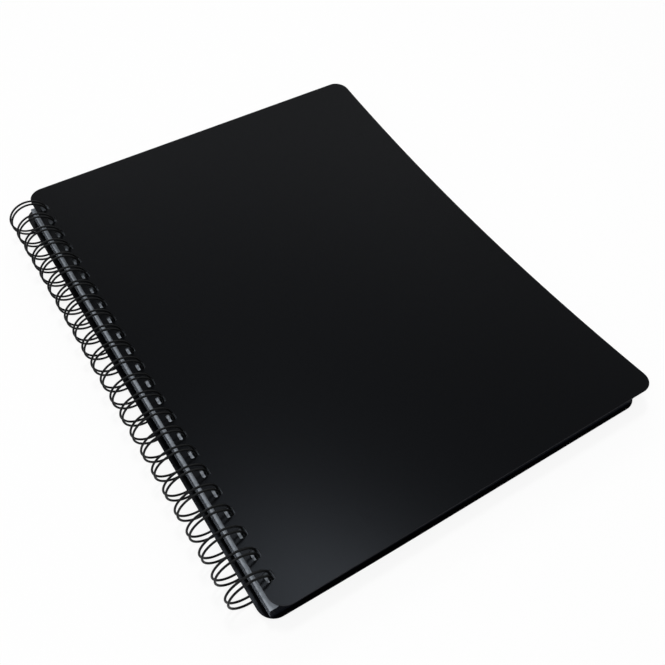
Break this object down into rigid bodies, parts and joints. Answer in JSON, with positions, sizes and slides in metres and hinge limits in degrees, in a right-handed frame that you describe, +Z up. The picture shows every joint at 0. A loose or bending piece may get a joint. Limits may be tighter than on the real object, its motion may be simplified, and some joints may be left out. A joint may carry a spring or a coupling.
{
  "type": "clear pocket display book",
  "caption": "Closed wire-bound display book: black plastic covers and clear top-loading pockets with black paper, all turning on a twin-loop wire along the spine.",
  "frame": {"origin": "under the middle of the closed book's outer box, on the table it lies on", "axes": "+X from the spine to the fore-edge, +Y along the spine to the pockets' open mouths, +Z up through the front cover"},
  "size_m": [0.2518, 0.313, 0.024],
  "materials": {
    "cover_sheet": "black sheet with a fine matt grain",
    "binding_wire": "satin black coat on steel wire",
    "pocket_film": "clear smooth film",
    "black_paper": "uncoated black paper"
  },
  "bodies": {
    "spine": {"back_cover": "cover_sheet", "binding_wire": "binding_wire"},
    "front_cover": {"front_cover": "cover_sheet"},
    "pocket_01": {"pocket_01": "pocket_film"},
    "insert_01": {"insert_01": "black_paper"},
    "pocket_02": {"pocket_02": "pocket_film"},
    "insert_02": {"insert_02": "black_paper"},
    "pocket_03": {"pocket_03": "pocket_film"},
    "insert_03": {"insert_03": "black_paper"},
    "pocket_04": {"pocket_04": "pocket_film"},
    "insert_04": {"insert_04": "black_paper"},
    "pocket_05": {"pocket_05": "pocket_film"},
    "insert_05": {"insert_05": "black_paper"},
    "pocket_06": {"pocket_06": "pocket_film"},
    "insert_06": {"insert_06": "black_paper"},
    "pocket_07": {"pocket_07": "pocket_film"},
    "insert_07": {"insert_07": "black_paper"},
    "pocket_08": {"pocket_08": "pocket_film"},
    "insert_08": {"insert_08": "black_paper"},
    "pocket_09": {"pocket_09": "pocket_film"},
    "insert_09": {"insert_09": "black_paper"},
    "pocket_10": {"pocket_10": "pocket_film"},
    "insert_10": {"insert_10": "black_paper"},
    "pocket_11": {"pocket_11": "pocket_film"},
    "insert_11": {"insert_11": "black_paper"},
    "pocket_12": {"pocket_12": "pocket_film"},
    "insert_12": {"insert_12": "black_paper"},
    "pocket_13": {"pocket_13": "pocket_film"},
    "insert_13": {"insert_13": "black_paper"},
    "pocket_14": {"pocket_14": "pocket_film"},
    "insert_14": {"insert_14": "black_paper"},
    "pocket_15": {"pocket_15": "pocket_film"},
    "insert_15": {"insert_15": "black_paper"},
    "pocket_16": {"pocket_16": "pocket_film"},
    "insert_16": {"insert_16": "black_paper"},
    "pocket_17": {"pocket_17": "pocket_film"},
    "insert_17": {"insert_17": "black_paper"},
    "pocket_18": {"pocket_18": "pocket_film"},
    "insert_18": {"insert_18": "black_paper"},
    "pocket_19": {"pocket_19": "pocket_film"},
    "insert_19": {"insert_19": "black_paper"},
    "pocket_20": {"pocket_20": "pocket_film"},
    "insert_20": {"insert_20": "black_paper"}
  },
  "joints": [
    {"name": "front_cover_hinge", "type": "hinge", "parent": "spine", "child": "front_cover", "pos_m": [-0.11395, 0, 0.012], "axis": [0, -1, 0], "range_deg": [0, 180]},
    {"name": "pocket_01_hinge", "type": "hinge", "parent": "spine", "child": "pocket_01", "pos_m": [-0.11395, 0, 0.012], "axis": [0, -1, 0], "range_deg": [0, 180]},
    {"name": "insert_01_slide", "type": "slide", "parent": "pocket_01", "child": "insert_01", "axis": [0, 1, 0], "range_m": [0, 0.28]},
    {"name": "pocket_02_hinge", "type": "hinge", "parent": "spine", "child": "pocket_02", "pos_m": [-0.11395, 0, 0.012], "axis": [0, -1, 0], "range_deg": [0, 180]},
    {"name": "insert_02_slide", "type": "slide", "parent": "pocket_02", "child": "insert_02", "axis": [0, 1, 0], "range_m": [0, 0.28]},
    {"name": "pocket_03_hinge", "type": "hinge", "parent": "spine", "child": "pocket_03", "pos_m": [-0.11395, 0, 0.012], "axis": [0, -1, 0], "range_deg": [0, 180]},
    {"name": "insert_03_slide", "type": "slide", "parent": "pocket_03", "child": "insert_03", "axis": [0, 1, 0], "range_m": [0, 0.28]},
    {"name": "pocket_04_hinge", "type": "hinge", "parent": "spine", "child": "pocket_04", "pos_m": [-0.11395, 0, 0.012], "axis": [0, -1, 0], "range_deg": [0, 180]},
    {"name": "insert_04_slide", "type": "slide", "parent": "pocket_04", "child": "insert_04", "axis": [0, 1, 0], "range_m": [0, 0.28]},
    {"name": "pocket_05_hinge", "type": "hinge", "parent": "spine", "child": "pocket_05", "pos_m": [-0.11395, 0, 0.012], "axis": [0, -1, 0], "range_deg": [0, 180]},
    {"name": "insert_05_slide", "type": "slide", "parent": "pocket_05", "child": "insert_05", "axis": [0, 1, 0], "range_m": [0, 0.28]},
    {"name": "pocket_06_hinge", "type": "hinge", "parent": "spine", "child": "pocket_06", "pos_m": [-0.11395, 0, 0.012], "axis": [0, -1, 0], "range_deg": [0, 180]},
    {"name": "insert_06_slide", "type": "slide", "parent": "pocket_06", "child": "insert_06", "axis": [0, 1, 0], "range_m": [0, 0.28]},
    {"name": "pocket_07_hinge", "type": "hinge", "parent": "spine", "child": "pocket_07", "pos_m": [-0.11395, 0, 0.012], "axis": [0, -1, 0], "range_deg": [0, 180]},
    {"name": "insert_07_slide", "type": "slide", "parent": "pocket_07", "child": "insert_07", "axis": [0, 1, 0], "range_m": [0, 0.28]},
    {"name": "pocket_08_hinge", "type": "hinge", "parent": "spine", "child": "pocket_08", "pos_m": [-0.11395, 0, 0.012], "axis": [0, -1, 0], "range_deg": [0, 180]},
    {"name": "insert_08_slide", "type": "slide", "parent": "pocket_08", "child": "insert_08", "axis": [0, 1, 0], "range_m": [0, 0.28]},
    {"name": "pocket_09_hinge", "type": "hinge", "parent": "spine", "child": "pocket_09", "pos_m": [-0.11395, 0, 0.012], "axis": [0, -1, 0], "range_deg": [0, 180]},
    {"name": "insert_09_slide", "type": "slide", "parent": "pocket_09", "child": "insert_09", "axis": [0, 1, 0], "range_m": [0, 0.28]},
    {"name": "pocket_10_hinge", "type": "hinge", "parent": "spine", "child": "pocket_10", "pos_m": [-0.11395, 0, 0.012], "axis": [0, -1, 0], "range_deg": [0, 180]},
    {"name": "insert_10_slide", "type": "slide", "parent": "pocket_10", "child": "insert_10", "axis": [0, 1, 0], "range_m": [0, 0.28]},
    {"name": "pocket_11_hinge", "type": "hinge", "parent": "spine", "child": "pocket_11", "pos_m": [-0.11395, 0, 0.012], "axis": [0, -1, 0], "range_deg": [0, 180]},
    {"name": "insert_11_slide", "type": "slide", "parent": "pocket_11", "child": "insert_11", "axis": [0, 1, 0], "range_m": [0, 0.28]},
    {"name": "pocket_12_hinge", "type": "hinge", "parent": "spine", "child": "pocket_12", "pos_m": [-0.11395, 0, 0.012], "axis": [0, -1, 0], "range_deg": [0, 180]},
    {"name": "insert_12_slide", "type": "slide", "parent": "pocket_12", "child": "insert_12", "axis": [0, 1, 0], "range_m": [0, 0.28]},
    {"name": "pocket_13_hinge", "type": "hinge", "parent": "spine", "child": "pocket_13", "pos_m": [-0.11395, 0, 0.012], "axis": [0, -1, 0], "range_deg": [0, 180]},
    {"name": "insert_13_slide", "type": "slide", "parent": "pocket_13", "child": "insert_13", "axis": [0, 1, 0], "range_m": [0, 0.28]},
    {"name": "pocket_14_hinge", "type": "hinge", "parent": "spine", "child": "pocket_14", "pos_m": [-0.11395, 0, 0.012], "axis": [0, -1, 0], "range_deg": [0, 180]},
    {"name": "insert_14_slide", "type": "slide", "parent": "pocket_14", "child": "insert_14", "axis": [0, 1, 0], "range_m": [0, 0.28]},
    {"name": "pocket_15_hinge", "type": "hinge", "parent": "spine", "child": "pocket_15", "pos_m": [-0.11395, 0, 0.012], "axis": [0, -1, 0], "range_deg": [0, 180]},
    {"name": "insert_15_slide", "type": "slide", "parent": "pocket_15", "child": "insert_15", "axis": [0, 1, 0], "range_m": [0, 0.28]},
    {"name": "pocket_16_hinge", "type": "hinge", "parent": "spine", "child": "pocket_16", "pos_m": [-0.11395, 0, 0.012], "axis": [0, -1, 0], "range_deg": [0, 180]},
    {"name": "insert_16_slide", "type": "slide", "parent": "pocket_16", "child": "insert_16", "axis": [0, 1, 0], "range_m": [0, 0.28]},
    {"name": "pocket_17_hinge", "type": "hinge", "parent": "spine", "child": "pocket_17", "pos_m": [-0.11395, 0, 0.012], "axis": [0, -1, 0], "range_deg": [0, 180]},
    {"name": "insert_17_slide", "type": "slide", "parent": "pocket_17", "child": "insert_17", "axis": [0, 1, 0], "range_m": [0, 0.28]},
    {"name": "pocket_18_hinge", "type": "hinge", "parent": "spine", "child": "pocket_18", "pos_m": [-0.11395, 0, 0.012], "axis": [0, -1, 0], "range_deg": [0, 180]},
    {"name": "insert_18_slide", "type": "slide", "parent": "pocket_18", "child": "insert_18", "axis": [0, 1, 0], "range_m": [0, 0.28]},
    {"name": "pocket_19_hinge", "type": "hinge", "parent": "spine", "child": "pocket_19", "pos_m": [-0.11395, 0, 0.012], "axis": [0, -1, 0], "range_deg": [0, 180]},
    {"name": "insert_19_slide", "type": "slide", "parent": "pocket_19", "child": "insert_19", "axis": [0, 1, 0], "range_m": [0, 0.28]},
    {"name": "pocket_20_hinge", "type": "hinge", "parent": "spine", "child": "pocket_20", "pos_m": [-0.11395, 0, 0.012], "axis": [0, -1, 0], "range_deg": [0, 180]},
    {"name": "insert_20_slide", "type": "slide", "parent": "pocket_20", "child": "insert_20", "axis": [0, 1, 0], "range_m": [0, 0.28]}
  ],
  "couplings": [
    {"joint": "pocket_01_hinge", "follows": "front_cover_hinge", "ratio": 0.95238},
    {"joint": "pocket_02_hinge", "follows": "front_cover_hinge", "ratio": 0.90476},
    {"joint": "pocket_03_hinge", "follows": "front_cover_hinge", "ratio": 0.85714},
    {"joint": "pocket_04_hinge", "follows": "front_cover_hinge", "ratio": 0.80952},
    {"joint": "pocket_05_hinge", "follows": "front_cover_hinge", "ratio": 0.76191},
    {"joint": "pocket_06_hinge", "follows": "front_cover_hinge", "ratio": 0.71429},
    {"joint": "pocket_07_hinge", "follows": "front_cover_hinge", "ratio": 0.66667},
    {"joint": "pocket_08_hinge", "follows": "front_cover_hinge", "ratio": 0.61905},
    {"joint": "pocket_09_hinge", "follows": "front_cover_hinge", "ratio": 0.57143},
    {"joint": "pocket_10_hinge", "follows": "front_cover_hinge", "ratio": 0.52381},
    {"joint": "pocket_11_hinge", "follows": "front_cover_hinge", "ratio": 0.47619},
    {"joint": "pocket_12_hinge", "follows": "front_cover_hinge", "ratio": 0.42857},
    {"joint": "pocket_13_hinge", "follows": "front_cover_hinge", "ratio": 0.38095},
    {"joint": "pocket_14_hinge", "follows": "front_cover_hinge", "ratio": 0.33333},
    {"joint": "pocket_15_hinge", "follows": "front_cover_hinge", "ratio": 0.28571},
    {"joint": "pocket_16_hinge", "follows": "front_cover_hinge", "ratio": 0.2381},
    {"joint": "pocket_17_hinge", "follows": "front_cover_hinge", "ratio": 0.19048},
    {"joint": "pocket_18_hinge", "follows": "front_cover_hinge", "ratio": 0.14286},
    {"joint": "pocket_19_hinge", "follows": "front_cover_hinge", "ratio": 0.095238},
    {"joint": "pocket_20_hinge", "follows": "front_cover_hinge", "ratio": 0.047619}
  ]
}
